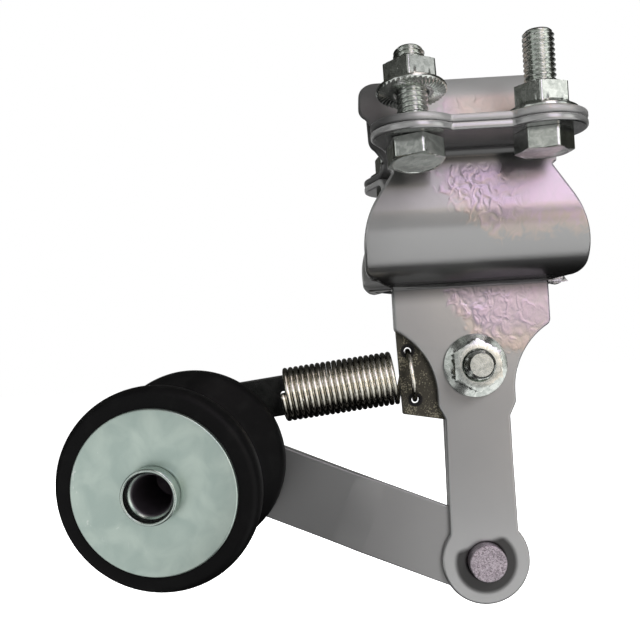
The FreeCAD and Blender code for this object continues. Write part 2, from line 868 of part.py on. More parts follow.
def spring_bracket():
    """Plate clamped between the hanging plates; the last coil passes through its two holes."""
    body = start_body("spring_bracket")
    slant = math.tan(math.radians(size("bracket_slant_angle")))
    fall = math.tan(math.radians(size("bracket_fall_angle")))
    left = -size("bracket_left")
    top = -size("bracket_top_drop")
    bottom = -size("bracket_bottom_drop")
    lip = size("bracket_lip_half")
    drop = size("cross_drop")
    heel = left - slant * (bottom + drop)
    plate = Outline(left - slant * (top + drop), top)
    plate.line(heel, bottom)
    plate.line(-lip, bottom - fall * (-lip - heel))
    plate.line(lip, -drop - lip)
    plate.arc((0, -drop), lip, 0, 90)
    plate.line(-lip, top)
    sketch = add_sketch(body, "XZ_Plane", "plate")
    plate.draw(sketch)
    draw_circle(sketch, "0", "-Sizes.cross_drop", "Sizes.thread_radius + Sizes.thread_fit")
    for up in (1, -1):
        hole = spring_place.multVec(Vector(spring_reach, 0, up * size("coil_radius")))
        draw_circle(sketch, str(hole.x), str(hole.z), "Sizes.wire_radius + Sizes.hole_play")
    pad(body, sketch, "Sizes.plate_gap", midplane=True)
    return body


def wire_along(path):
    """Round wire swept along a path, square to its start."""
    start = path.Vertexes[0].Point
    direction = path.Edges[0].tangentAt(path.Edges[0].FirstParameter)
    ring = Part.Wire([Part.makeCircle(size("wire_radius"), start, direction)])
    return Part.Wire(path.Edges).makePipeShell([ring], True, True)


def on_axis(along_x, turned):
    """Placement of a coil about the X axis, started from the given angle."""
    to_x = Rotation(Vector(0, 1, 0), 90)
    return Placement(Vector(along_x, 0, 0), to_x * Rotation(Vector(0, 0, 1), turned))


def extension_spring():
    """Closed coils along +X, a tang through the link and a last turn through the bracket."""
    radius = size("coil_radius")
    wire = size("wire_radius")
    body_end = FRONT_START + 360 * (whole_turns + QUARTER)

    coils = Part.makeHelix(size("coil_pitch"), body_length, radius)
    coils.Placement = on_axis(0, FRONT_START)
    pieces = [wire_along(coils)]

    step = Part.makeHelix(2 * open_length, open_length, radius)
    step.Placement = on_axis(body_length, body_end)
    pieces.append(wire_along(step))

    last = Part.makeCircle(radius, Vector(0, 0, 0), Vector(0, 0, 1), 0, size("last_turn_angle"))
    last.Placement = on_axis(spring_reach, body_end + 180)
    pieces.append(wire_along(last))

    for joint in (step.Vertexes[0].Point, last.Vertexes[0].Point):
        pieces.append(Part.makeSphere(wire, joint))

    first = coils.Vertexes[0].Point
    pieces.append(Part.makeSphere(wire, first))
    tang_length = radius + size("tang_reach")
    inward = Vector(0, -first.y, -first.z).normalize()
    pieces.append(Part.makeCylinder(wire, tang_length, first, inward))

    spring = doc.addObject("Part::Feature", "extension_spring")
    spring.Label = "extension_spring"
    spring.Shape = pieces[0].fuse(pieces[1:])
    spring.Placement = spring_place
    return spring


# Roller: all pieces are turned about the tilted axle, from the arm's middle towards the front


def along(*parts):
    """Distance from the arm's middle plane towards the roller side."""
    return "-(" + " + ".join(parts) + ")"


ARM_FACE = "Sizes.arm_gauge / 2"
WASHER_FACE = f"{ARM_FACE} + Sizes.washer_gauge"
DISC_BACK = f"{WASHER_FACE} + Sizes.end_play"
RUBBER_BACK = f"{DISC_BACK} + Sizes.disc_gauge"
RUBBER_FRONT = f"{RUBBER_BACK} + Sizes.rubber_width"
DISC_FRONT = f"{RUBBER_FRONT} + Sizes.disc_gauge"
COLLAR_BACK = f"{DISC_FRONT} + Sizes.end_play"
COLLAR_FRONT = f"{COLLAR_BACK} + Sizes.collar_length"
MOUTH_END = f"{COLLAR_FRONT} + -Sizes.mouth_depth"
RUNNING = "Sizes.axle_radius + Sizes.running_fit"
BUSH_OUT = f"{RUNNING} + Sizes.roller_bush_wall"
CORE_OUT = f"{BUSH_OUT} + Sizes.core_wall"


def on_axle(label, profile):
    body = turned_piece(label, profile, "XY_Plane")
    body.Placement = axle_place
    return body


def hollow_axle():
    """Axle riveted into the arm, with a collar that keeps the roller on and a blind bore in its front."""
    back = ARM_FACE
    return on_axle("hollow_axle", [
        ("0", f"{back} + Sizes.axle_head_height"),
        ("Sizes.axle_head_radius - Sizes.axle_head_height / 2", f"{back} + Sizes.axle_head_height"),
        ("Sizes.axle_head_radius", back),
        ("Sizes.axle_radius", back),
        ("Sizes.axle_radius", along(COLLAR_BACK)),
        ("Sizes.collar_radius", along(COLLAR_BACK)),
        ("Sizes.collar_radius", along(COLLAR_FRONT, "-Sizes.pin_chamfer")),
        ("Sizes.collar_radius - Sizes.pin_chamfer", along(COLLAR_FRONT)),
        ("Sizes.mouth_radius", along(COLLAR_FRONT)),
        ("Sizes.mouth_radius", along(MOUTH_END)),
        ("Sizes.axle_bore", along(MOUTH_END, "Sizes.axle_bore - Sizes.mouth_radius")),
        ("Sizes.axle_bore", along(COLLAR_FRONT, "-Sizes.bore_depth")),
        ("0", along(COLLAR_FRONT, "-Sizes.bore_depth", "-Sizes.axle_bore / 2")),
    ])


def ring(label, near, far, back, front):
    """Plain ring between two radii and two distances along the axle."""
    return on_axle(label, [
        (near, along(back)),
        (far, along(back)),
        (far, along(front)),
        (near, along(front)),
    ])


def roller_rubber():
    """Rubber spool: two rounded rims with a narrower waist between them."""
    middle = f"{RUBBER_BACK} + Sizes.rubber_width / 2"
    return on_axle("roller_rubber", [
        (CORE_OUT, along(RUBBER_BACK)),
        ("Sizes.rim_radius - Sizes.rim_round", along(RUBBER_BACK)),
        ("Sizes.rim_radius - Sizes.rim_ease", along(RUBBER_BACK, "Sizes.rim_ease")),
        ("Sizes.rim_radius", along(RUBBER_BACK, "Sizes.rim_round")),
        ("Sizes.rim_radius", along(RUBBER_BACK, "Sizes.rim_round", "Sizes.rim_land")),
        ("Sizes.waist_radius", along(middle, "-Sizes.waist_width / 2")),
        ("Sizes.waist_radius", along(middle, "Sizes.waist_width / 2")),
        ("Sizes.rim_radius", along(RUBBER_FRONT, "-Sizes.rim_round", "-Sizes.rim_land")),
        ("Sizes.rim_radius", along(RUBBER_FRONT, "-Sizes.rim_round")),
        ("Sizes.rim_radius - Sizes.rim_ease", along(RUBBER_FRONT, "-Sizes.rim_ease")),
        ("Sizes.rim_radius - Sizes.rim_round", along(RUBBER_FRONT)),
        (CORE_OUT, along(RUBBER_FRONT)),
    ])


def roller_pieces():
    disc_hole = "Sizes.axle_radius + Sizes.disc_fit"
    washer_hole = "Sizes.axle_radius + Sizes.pin_fit"
    length = "Sizes.roller_bush_length"
    return [
        hollow_axle(),
        ring("axle_washer", washer_hole, "Sizes.washer_radius", ARM_FACE, WASHER_FACE),
        ring("roller_core", BUSH_OUT, CORE_OUT, RUBBER_BACK, RUBBER_FRONT),
        ring("roller_bush_rear", RUNNING, BUSH_OUT, RUBBER_BACK, f"{RUBBER_BACK} + {length}"),
        ring("roller_bush_front", RUNNING, BUSH_OUT, f"{RUBBER_FRONT} - {length}", RUBBER_FRONT),
        ring("roller_disc_rear", disc_hole, "Sizes.disc_radius", DISC_BACK, RUBBER_BACK),
        ring("roller_disc_front", disc_hole, "Sizes.disc_radius", RUBBER_FRONT, DISC_FRONT),
        roller_rubber(),
    ]


# The whole tensioner

pieces = [
    clamp_bracket("front", -1),
    clamp_bracket("rear", 1),
    clamp_cap(),
]
pieces += clamp_fastener("front", -1, "left", -1, -20, 22, loose=True)
pieces += clamp_fastener("front", -1, "right", 1, -13, 17)
pieces += clamp_fastener("rear", 1, "left", -1, 12, 40)
pieces += clamp_fastener("rear", 1, "right", 1, 35, 8)
pieces += cross_fastener()
pieces += [pivot_pin(), pivot_bush(), swing_arm(), spring_link(), link_rivet(), spring_bracket()]
pieces += [extension_spring()]
pieces += roller_pieces()
doc.recompute()

for thing in doc.Objects:
    if "Invalid" in thing.State or "Error" in thing.State:
        raise ValueError(f"{thing.Label} failed: {thing.State}")
for piece in pieces:
    if piece.Shape.isNull() or not piece.Shape.isValid():
        raise ValueError(f"{piece.Label} has no valid shape")

os.makedirs("parts", exist_ok=True)
for piece in pieces:
    piece.Shape.exportStep(f"parts/{piece.Label}.step")
    print(piece.Label, len(piece.Shape.Solids), round(piece.Shape.Volume))
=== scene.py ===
import json
import math

import bmesh
import bpy
import numpy as np
from mathutils import Matrix, Vector


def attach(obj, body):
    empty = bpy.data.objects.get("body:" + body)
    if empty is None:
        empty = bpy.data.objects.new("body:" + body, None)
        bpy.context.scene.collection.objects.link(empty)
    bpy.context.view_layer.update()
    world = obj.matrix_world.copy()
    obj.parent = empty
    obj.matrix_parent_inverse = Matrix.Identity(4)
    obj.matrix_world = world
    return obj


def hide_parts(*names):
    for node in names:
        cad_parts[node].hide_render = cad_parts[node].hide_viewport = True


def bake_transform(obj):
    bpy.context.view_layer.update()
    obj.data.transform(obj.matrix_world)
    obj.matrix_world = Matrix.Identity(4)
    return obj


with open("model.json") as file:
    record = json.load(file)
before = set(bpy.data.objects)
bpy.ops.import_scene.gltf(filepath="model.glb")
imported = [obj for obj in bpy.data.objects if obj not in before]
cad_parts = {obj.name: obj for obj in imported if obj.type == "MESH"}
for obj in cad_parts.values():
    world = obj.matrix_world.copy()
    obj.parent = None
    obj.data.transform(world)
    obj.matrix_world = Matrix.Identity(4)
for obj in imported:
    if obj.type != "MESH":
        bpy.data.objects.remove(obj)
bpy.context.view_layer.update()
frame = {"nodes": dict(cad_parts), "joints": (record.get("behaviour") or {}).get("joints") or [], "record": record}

mm = 0.001
print("frame loaded:", len(frame["nodes"]), "nodes")


# camera: 345, 370 is where the view straight along +Y meets the photograph, counted from its top left corner
camera = {"place": (-36.6, -256.6, -41.6), "focal": 900, "frame": 640, "centre": (345, 370), "roll": 3.3}


def addCamera(c):
    data = bpy.data.cameras.new("camera")
    data.sensor_width = 36
    data.lens = c["focal"] / c["frame"] * data.sensor_width
    data.shift_x = 0.5 - c["centre"][0] / c["frame"]
    data.shift_y = c["centre"][1] / c["frame"] - 0.5
    data.clip_start = 0.01
    eye = bpy.data.objects.new("camera", data)
    roll = math.radians(c["roll"])
    eye.matrix_world = Matrix((
        (math.cos(roll), math.sin(roll), 0, c["place"][0] * mm),
        (0, 0, -1, c["place"][1] * mm),
        (-math.sin(roll), math.cos(roll), 0, c["place"][2] * mm),
        (0, 0, 0, 1)))
    bpy.context.scene.collection.objects.link(eye)
    bpy.context.scene.camera = eye


addCamera(camera)
print("camera set")


# shader maths: a Wire is one output socket, and an expression on it adds Math nodes
class Wire:
    def __init__(self, look, socket):
        self.look = look
        self.socket = socket

    def maths(self, operation, first, second=0.0, clamp=False):
        settings = {"operation": operation, "use_clamp": clamp}
        return Wire(self.look, self.look.node("ShaderNodeMath", settings, {0: first, 1: second}).outputs[0])

    def __add__(self, other):
        return self.maths("ADD", self, other)

    def __sub__(self, other):
        return self.maths("SUBTRACT", self, other)

    def __rsub__(self, other):
        return self.maths("SUBTRACT", other, self)

    def __mul__(self, other):
        return self.maths("MULTIPLY", self, other)

    def __pow__(self, other):
        return self.maths("POWER", self, other)

    __radd__ = __add__
    __rmul__ = __mul__

    def held(self):
        return self.maths("MULTIPLY", self, 1.0, clamp=True)

    def most(self, other):
        return self.maths("MAXIMUM", self, other)


# node tree of one material or of the world
class Look:
    def __init__(self, tree):
        self.tree = tree
        tree.nodes.clear()

    def node(self, kind, settings, sockets):
        made = self.tree.nodes.new(kind)
        for word, value in settings.items():
            setattr(made, word, value)
        for key, value in sockets.items():
            if isinstance(value, Wire):
                self.tree.links.new(value.socket, made.inputs[key])
            else:
                made.inputs[key].default_value = value
        return made

    def surface(self, kind, sockets):
        # a shader, called by its node's name without ShaderNode
        return Wire(self, self.node("ShaderNode" + kind, {}, sockets).outputs[0])

    def place(self):
        return Wire(self, self.node("ShaderNodeTexCoord", {}, {}).outputs["Object"])

    def parts(self, vector):
        split = self.node("ShaderNodeSeparateXYZ", {}, {0: vector})
        return [Wire(self, socket) for socket in split.outputs]

    def noise(self, vector, size, detail=2.0, distortion=0.0):
        # size is the width of one patch in millimetres
        sockets = {"Vector": vector, "Scale": 1 / (size * mm), "Detail": detail, "Distortion": distortion}
        return Wire(self, self.node("ShaderNodeTexNoise", {}, sockets).outputs["Fac"])

    def stretched(self, vector, scale):
        return Wire(self, self.node("ShaderNodeMapping", {}, {"Vector": vector, "Scale": scale}).outputs[0])

    def between(self, factor, low, high):
        # smooth step of a value from 0 at low to 1 at high; low may be the greater
        settings = {"interpolation_type": "SMOOTHSTEP"}
        sockets = {"Value": factor, "From Min": low, "From Max": high, "To Min": 0.0, "To Max": 1.0}
        return Wire(self, self.node("ShaderNodeMapRange", settings, sockets).outputs[0])

    def span(self, length, low, high):
        # the same step for a length in metres, with limits in millimetres
        return self.between(length, low * mm, high * mm)

    def blend(self, factor, first, second):
        sockets = {0: factor, 6: first, 7: second}
        return Wire(self, self.node("ShaderNodeMix", {"data_type": "RGBA"}, sockets).outputs[2])

    def bump(self, height, depth):
        # depth is the height of the relief in millimetres
        sockets = {"Height": height, "Distance": depth * mm, "Strength": 1.0}
        return Wire(self, self.node("ShaderNodeBump", {}, sockets).outputs[0])


def rgb(red, green, blue):
    return (red, green, blue, 1.0)


def grey(value):
    return rgb(value, value, value)


def newMaterial(name, build):
    material = bpy.data.materials.new(name)
    material.use_nodes = True
    look = Look(material.node_tree)
    look.node("ShaderNodeOutputMaterial", {}, {"Surface": look.surface("BsdfPrincipled", build(look))})
    return material


# bolt through both plates, along y; face is the distance of each plate's outside from the middle
crossBolt = {"length": 20.0, "height": -42.4, "face": 3.6, "nutTurn": 90}

# the roller's line is read from its joint; heights along it start at the arm's middle and run to the front
spin = next(joint for joint in frame["joints"] if joint["name"] == "roller_spin")
rollerAxis = -Vector(spin["axis"])
rollerOrigin = Vector((-78.508, 2.325, -63.427))

# sizes and depths in millimetres; dulledRough is the roughness added over the whole piece in step with the share
# of painted shade, and film the share of the painted reflection's colour that stays where the waves are low
paint = {
    # dirt is the black of painted shade; lilac and cream colour a painted reflection; smudge is the painted shadow
    # round the pin
    "shade": grey(0.44), "light": rgb(0.485, 0.485, 0.48), "dirt": grey(0),
    "lilac": rgb(0.60, 0.492, 0.595), "cream": rgb(0.62, 0.53, 0.43), "ringShadow": rgb(0.012, 0.010, 0.009),
    "rough": 0.20, "fineRough": 0.06, "dulledRough": 0.25, "metallic": 0.48,
    "broadSize": 14, "fineSize": 0.35, "fineShare": 0.05, "peelSize": 2.4, "peelDepth": 0.012,
    "waveSize": 2.9, "waveStretch": (1.1, 1, 0.9), "waveDepth": 0.20,
    "wobble": 2.2, "film": 0.3, "creamShare": 0.85, "frontDepth": -1.5,
}


# painted shade on the paint, in millimetres: a ring of painted shadow round the pivot pin, solid up to inner and
# open at its upper left, and bands of painted shade across the bend above the hanging plate and the neck under the
# flange
paintedShade = {
    "centre": -97.9, "inner": 7.8, "outer": 9.4, "openSlope": 0.28, "open": 91.4, "closed": 93.2,
    "front": (-2, -3), "ringShare": 0.95,
    "bend": ((-25, -20), (-13, -18)), "neck": ((10.5, 13.5), (14.75, 14.5)), "bandShare": 0.7,
}


def paintedRingShadow(look, x, y, z):
    away = ((x * x) + (z - paintedShade["centre"] * mm) ** 2.0) ** 0.5
    ring = look.span(away, paintedShade["outer"], paintedShade["inner"])
    return (ring * look.span(x * paintedShade["openSlope"] - z, paintedShade["open"], paintedShade["closed"])
            * look.span(y, *paintedShade["front"]))


def paintedBandShade(look, z):
    bend, neck = (look.span(z, *low) * look.span(z, *high) for low, high in (paintedShade["bend"], paintedShade["neck"]))
    return bend.most(neck) * paintedShade["bandShare"]


def paintedReflectionZone(look, zone, wave, x, y, z):
    # where the painted reflection shows, and how far its colour is cream; the patch lies right of left and below
    # top, above a line that falls from start by slope down to floor, and its edges wobble with the wave
    soft, left, top = zone["soft"], zone["left"], zone["top"]
    wobble = (wave - 0.5) * (paint["wobble"] * soft * mm)
    line = (zone["start"] * mm - (x - left * mm) * zone["slope"]).most(zone["floor"] * mm)
    rise = z - line + wobble
    inside = (look.span(rise, -0.5 * soft, 0.5 * soft) * look.span(z, top, top - soft)
              * look.span(x + wobble, left, left + soft) * look.span(y, 0, paint["frontDepth"]))
    creamy = look.span(rise, zone["band"], 0) * look.span(x, left, 0)
    return inside, creamy * paint["creamShare"]


def paintLook(reflectionZones, shadedAndDulled=0.0, shadeFrom=0, shadeTo=0):
    # glossy grey paint with a faint orange peel, patches of painted reflection with wavy edges and crinkles,
    # and painted shade that grows between two x; the same share also adds roughness over the whole piece
    def build(look):
        place = look.place()
        x, y, z = look.parts(place)
        broad = look.noise(place, paint["broadSize"])
        fine = look.noise(place, paint["fineSize"])
        peel = look.noise(place, paint["peelSize"], 1, 0.4)
        wave = look.noise(look.stretched(place, paint["waveStretch"]), paint["waveSize"], 1.4, 1.1)
        colour = look.blend(broad, paint["shade"], paint["light"])
        height = peel + fine * paint["fineShare"]
        if shadedAndDulled:
            # painted shade: the colour darkens towards black between the two x
            colour = look.blend(look.span(x, shadeFrom, shadeTo) * shadedAndDulled, colour, paint["dirt"])
        for zone in reflectionZones:
            inside, creamy = paintedReflectionZone(look, zone, wave, x, y, z)
            # painted reflection: lilac fading to cream, laid on more where the waves are high
            warm = look.blend(creamy, paint["lilac"], paint["cream"])
            colour = look.blend(inside * (paint["film"] + wave).held(), colour, warm)
            crinkle = (wave - 0.5) * inside * look.span(x, zone["calm"], 0)
            height = height + crinkle * (paint["waveDepth"] / paint["peelDepth"])
        # pieces with painted reflection also take bands of painted shade at the bend and under the flange
        if reflectionZones:
            colour = look.blend(paintedBandShade(look, z), colour, paint["dirt"])
        # ring of painted shadow round the pivot pin, which also takes the metal away there
        ring = paintedRingShadow(look, x, y, z)
        return {
            "Base Color": look.blend(ring * paintedShade["ringShare"], colour, paint["ringShadow"]),
            "Roughness": paint["rough"] + shadedAndDulled * paint["dulledRough"] + fine * paint["fineRough"],
            "Metallic": paint["metallic"] - ring * paint["metallic"],
            "Normal": look.bump(height, paint["peelDepth"]),
        }
    return build


# patches of painted reflection, in millimetres but for slope: cream up to band above the line, and no more waves
# at x = calm
frontReflectionZones = [
    {"left": -11, "start": 6, "slope": 0.95, "floor": -7.5, "top": 12.5, "band": 7, "calm": 20, "soft": 5},
    {"left": -9, "start": -21, "slope": 1.4, "floor": -38, "top": -18.5, "band": 8, "calm": 30, "soft": 4},
]
capReflectionZones = [{"left": -9, "start": 19, "slope": 0, "floor": 19, "top": 31, "band": 30, "calm": 30, "soft": 3}]


def zincLook(light, dark, rough, patch):
    # bright zinc plate: pale metal with faint clouds, fine pitting and a few pale scuffs
    def build(look):
        place = look.place()
        cloud = look.noise(place, patch, 4, 0.6)
        grain = look.noise(place, 0.45, 2)
        pits = look.between(look.noise(place, 0.55, 2), 0.64, 0.74)
        strokes = look.between(look.noise(look.stretched(place, (1, 1, 0.35)), 1.6, 3, 1.2), 0.66, 0.72)
        scuff = strokes * look.between(look.noise(place, patch * 2.5, 2), 0.52, 0.62)
        plate = look.blend(look.between(cloud, 0.3, 0.7), rgb(*dark), rgb(*light))
        return {
            "Base Color": look.blend(scuff * 0.5, plate, rgb(0.88, 0.90, 0.88)),
            "Metallic": 1.0, "Roughness": rough + grain * 0.08 + pits * 0.06,
            "Normal": look.bump(grain * 0.5 - pits, 0.004),
        }
    return build


def axleLook(look):
    # zinc plate outside and painted shade inside the bore: along and away are the distances along the axle's line
    # and from it
    place = look.place()
    reach = [part - start * mm for part, start in zip(look.parts(place), rollerOrigin)]
    along = reach[0] * rollerAxis[0] + reach[1] * rollerAxis[1] + reach[2] * rollerAxis[2]
    away = (reach[0] * reach[0] + reach[1] * reach[1] + reach[2] * reach[2] - along * along) ** 0.5
    inside = look.span(away, 5.3, 4.9) * look.span(along, 20, 25)
    cloud = look.noise(place, 3, 4, 0.6)
    colour = look.blend(look.between(cloud, 0.3, 0.7), rgb(0.38, 0.45, 0.42), rgb(0.56, 0.63, 0.58))
    return {
        # painted shade: the inside of the bore is coloured dark
        "Base Color": look.blend(inside * 0.95, colour, rgb(0.12, 0.10, 0.12)),
        "Metallic": 1.0, "Roughness": inside * 0.35 + 0.22 + cloud * 0.05,
    }


def pinLook(look):
    # cut end of a steel pin: mottled, with shallow tool marks
    place = look.place()
    mottle = look.noise(place, 1.0, 6, 2.4)
    blotch = look.noise(place, 2.6, 3, 1.5)
    colour = look.blend(look.between(mottle, 0.38, 0.62), rgb(0.17, 0.145, 0.16), rgb(0.58, 0.52, 0.57))
    return {
        "Base Color": look.blend(blotch * 0.5, colour, rgb(0.40, 0.36, 0.40)),
        "Metallic": 0.85, "Roughness": 0.34 + mottle * 0.2, "Normal": look.bump(mottle, 0.06),
    }


# x and z of the two holes in the spring's bracket, where the last turn passes
bracket = {"holes": ((-18.53, -37.24), (-17.17, -51.07))}


def nickelLook(look):
    # rough black nickel: sandy, warm dark skin with paler worn grains, and painted shade round the two holes so
    # that they look larger and dark
    place = look.place()
    x, y, z = look.parts(place)
    sand = look.noise(place, 0.42, 3, 0.3)
    patch = look.noise(place, 4.5, 3)
    worn = look.between(sand + (patch - 0.5) * 0.7, 0.52, 0.66)
    colour = look.blend(worn, rgb(0.055, 0.051, 0.037), rgb(0.30, 0.28, 0.20))
    # painted shade: near black round each hole, as if the hole were wider
    for across, up in bracket["holes"]:
        away = ((x - across * mm) ** 2.0 + (z - up * mm) ** 2.0) ** 0.5
        colour = look.blend(look.span(away, 2.3, 1.8), colour, grey(0.002))
    return {
        "Base Color": colour, "Metallic": 0.45, "Roughness": 0.42 + sand * 0.3,
        "Normal": look.bump(sand, 0.14),
    }


def darkLook(look):
    # glossy black finish of the link and its rivet
    place = look.place()
    haze = look.noise(place, 1.8, 3)
    return {
        "Base Color": look.blend(haze, rgb(0.012, 0.013, 0.012), rgb(0.035, 0.036, 0.034)),
        "Metallic": 0.2, "Roughness": 0.16 + haze * 0.14, "Coat Weight": 0.7, "Coat Roughness": 0.08,
        "Normal": look.bump(look.noise(place, 0.5, 2), 0.02),
    }


# slope of the spring's axis
springSlope = 0.098


def springLook(look):
    # drawn wire, dark with oil, with a painted highlight in a bright band across the turns and a little wear along
    # streaks;
    # height is that above the spring's axis
    place = look.place()
    x, y, z = look.parts(place)
    height = z - x * springSlope - crossBolt["height"] * mm
    # painted highlight: a bright band at a fixed height above the spring's axis
    band = look.span(height, -5, -0.5) * look.span(height, 6.6, 4.6)
    streak = look.noise(place, 0.7, 3)
    oil = look.noise(place, 4.0, 3)
    # worn joins the painted highlight band with wear along the streaks
    worn = (band * 0.8 + look.between(streak + oil, 0.8, 1.25) * 0.25).held()
    colour = look.blend(worn, rgb(0.09, 0.085, 0.07), rgb(0.88, 0.85, 0.75))
    return {
        "Base Color": colour, "Metallic": 1.0, "Roughness": 0.12 + streak * 0.10,
        "Normal": look.bump(streak, 0.012),
    }


def rubberLook(look):
    # smooth black rubber with a faint dusty bloom
    place = look.place()
    dust = look.between(look.noise(place, 5.5, 5, 0.5), 0.45, 0.8)
    skin = look.noise(place, 0.4, 3)
    return {
        "Base Color": look.blend(dust, rgb(0.0028, 0.0028, 0.003), rgb(0.0065, 0.0065, 0.0065)),
        "Roughness": 0.46 + skin * 0.12, "Specular IOR Level": 0.12, "Normal": look.bump(skin, 0.03),
    }


def plainLook(low, high, rough, metallic, size):
    # a moulded or sintered surface with fine grain
    def build(look):
        grain = look.noise(look.place(), size, 4)
        return {
            "Base Color": look.blend(grain, rgb(*low), rgb(*high)), "Metallic": metallic,
            "Roughness": rough + grain * 0.15, "Normal": look.bump(grain, 0.03),
        }
    return build


# the arm's paint darkens with painted shade towards the roller, and the cap's towards its left end
looks = {
    "frontPaint": paintLook(frontReflectionZones), "plainPaint": paintLook([]),
    "armPaint": paintLook([], 0.50, 40, -60), "capPaint": paintLook(capReflectionZones, 0.75, -14, -24),
    "zinc": zincLook((0.72, 0.75, 0.71), (0.48, 0.51, 0.48), 0.17, 1.6),
    "disc": zincLook((0.55, 0.65, 0.59), (0.44, 0.54, 0.495), 0.36, 7),
    "axle": axleLook, "pin": pinLook, "nickel": nickelLook, "dark": darkLook, "spring": springLook,
    "rubber": rubberLook, "nylon": plainLook((0.02,) * 3, (0.05,) * 3, 0.4, 0.0, 0.5),
    "bronze": plainLook((0.28, 0.18, 0.08), (0.50, 0.34, 0.15), 0.35, 0.9, 0.3),
}
finishes = {name: newMaterial(name, build) for name, build in looks.items()}
print("materials made:", len(finishes))


# a shell is its points and its faces; a grid's rows run along its first index, and its columns go round
def gridShell(points, closedRows=False):
    rows, columns = points.shape[:2]
    row, column = np.meshgrid(np.arange(rows if closedRows else rows - 1), np.arange(columns), indexing="ij")
    below, beside = (row + 1) % rows, (column + 1) % columns
    faces = np.stack([row * columns + column, row * columns + beside,
                      below * columns + beside, below * columns + column], axis=-1)
    return points.reshape(-1, 3), faces.reshape(-1, 4)


def pieceName(node):
    first, *rest = node.split("_")
    return first + "".join(word.capitalize() for word in rest) + "Piece"


# joins shells into one mesh in metres, welds seams and poles, and points the faces outwards
def shellMesh(node, shells, place, smoothAngle=35):
    points = np.concatenate([shell[0] for shell in shells])
    starts = np.cumsum([0] + [len(shell[0]) for shell in shells[:-1]])
    faces = np.concatenate([shell[1] + start for shell, start in zip(shells, starts)])
    turn = np.array(place.to_3x3())
    points = (points * mm) @ turn.T + np.array(place.translation)
    mesh = bpy.data.meshes.new(pieceName(node))
    mesh.from_pydata(points, [], faces)
    work = bmesh.new()
    work.from_mesh(mesh)
    bmesh.ops.remove_doubles(work, verts=work.verts, dist=1e-6)
    bmesh.ops.recalc_face_normals(work, faces=work.faces)
    work.to_mesh(mesh)
    work.free()
    mesh.shade_smooth()
    mesh.set_sharp_from_angle(angle=math.radians(smoothAngle))
    return mesh


def addPiece(node, mesh, finish):
    piece = bpy.data.objects.new(pieceName(node), mesh)
    bpy.context.scene.collection.objects.link(piece)
    mesh.materials.clear()
    mesh.materials.append(finishes[finish])
    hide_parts(node)
    return piece


def bodyOf(node):
    return next(body for body, names in frame["record"]["behaviour"]["bodies"].items() if node in names)


# closed outline with rounded corners: each corner (radius, height, rounding) becomes a quadratic curve
# P = (1-t)(1-t)A + 2t(1-t)C + ttB between the points A and B at the rounding's distance on its two sides
def roundedProfile(corners, steps=5):
    corner = np.array(corners, float)
    here = corner[:, None, :2]
    before = np.roll(corner, 1, 0)[:, None, :2]
    after = np.roll(corner, -1, 0)[:, None, :2]
    size = corner[:, None, 2:]
    a = here + (before - here) * size / np.linalg.norm(before - here, axis=-1, keepdims=True)
    b = here + (after - here) * size / np.linalg.norm(after - here, axis=-1, keepdims=True)
    t = np.linspace(0, 1, steps)[None, :, None]
    return ((1 - t) ** 2 * a + 2 * t * (1 - t) * here + t ** 2 * b).reshape(-1, 2)


def anglesRound(columns):
    return np.arange(columns) * 2 * math.pi / columns


# rows of points round an axis: (r cos u, r sin u, h); r and h are numbers, one row, or one value to a row
def ringRows(radius, height, u):
    radius, height = np.atleast_2d(radius + 0 * u), np.atleast_2d(height + 0 * u)
    return np.stack([radius * np.cos(u), radius * np.sin(u), height], axis=-1)


# bolts and nuts, in millimetres; headFace and seatEdge are steps of a face, (radius or its share, height)
fastener = {
    "thread": 4.0, "threadDepth": 0.62, "pitch": 1.25, "crest": 0.10, "flank": 0.75, "tipChamfer": 0.85,
    "tipShare": 0.97, "runout": 0.4, "across": 13.0, "cornerBlunt": 0.12, "chamfer": 0.5,
    "chamferRise": 0.2143, "headHeight": 5.3, "headSeat": (0.985, 0.5, 0.0),
    "headFace": ((0.0, 0.0), (0.62, 0.0), (0.72, 0.12), (0.97, 0.12)),
    "headRows": (0, 0.04, 0.10, 0.16, 0.22, 0.28, 0.34, 0.5, 1.2, 3.0, 5.18),
    "flange": 8.95, "flangeRim": 1.2, "coneHeight": 2.6, "coneInset": 0.1, "nutHeight": 7.2, "bore": 4.05,
    "teeth": 40, "toothDepth": 0.34, "toothSlant": 0.64, "toothRamp": 1.5, "toothRings": 8,
    "toothStart": 1.3, "toothEnd": 0.35, "toothFade": (1.0, 0.8),
    "seatEdge": ((-0.12, 0.42), (0, 0.55), (0, 0.95), (-0.12, 1.2)),
    "nutRows": (1.35, 1.55, 1.8, 2.05, 2.3, 2.6, 4.2, 6.1, 6.6, 6.9, 7.0, 7.1, 7.2),
    "boreChamfer": 0.5, "boreMouth": 0.55, "seatRise": 0.02, "shankSunk": 0.5, "smoothAngle": 32,
}


# hexagon radius at angle u: apothem / cos(u mod 60 - 30), with its corners slightly blunted
def hexRadius(u):
    f = fastener
    corner = f["across"] / math.sqrt(3) - f["cornerBlunt"]
    return np.minimum(f["across"] / 2 / np.cos(np.mod(u, math.pi / 3) - math.pi / 6), corner)


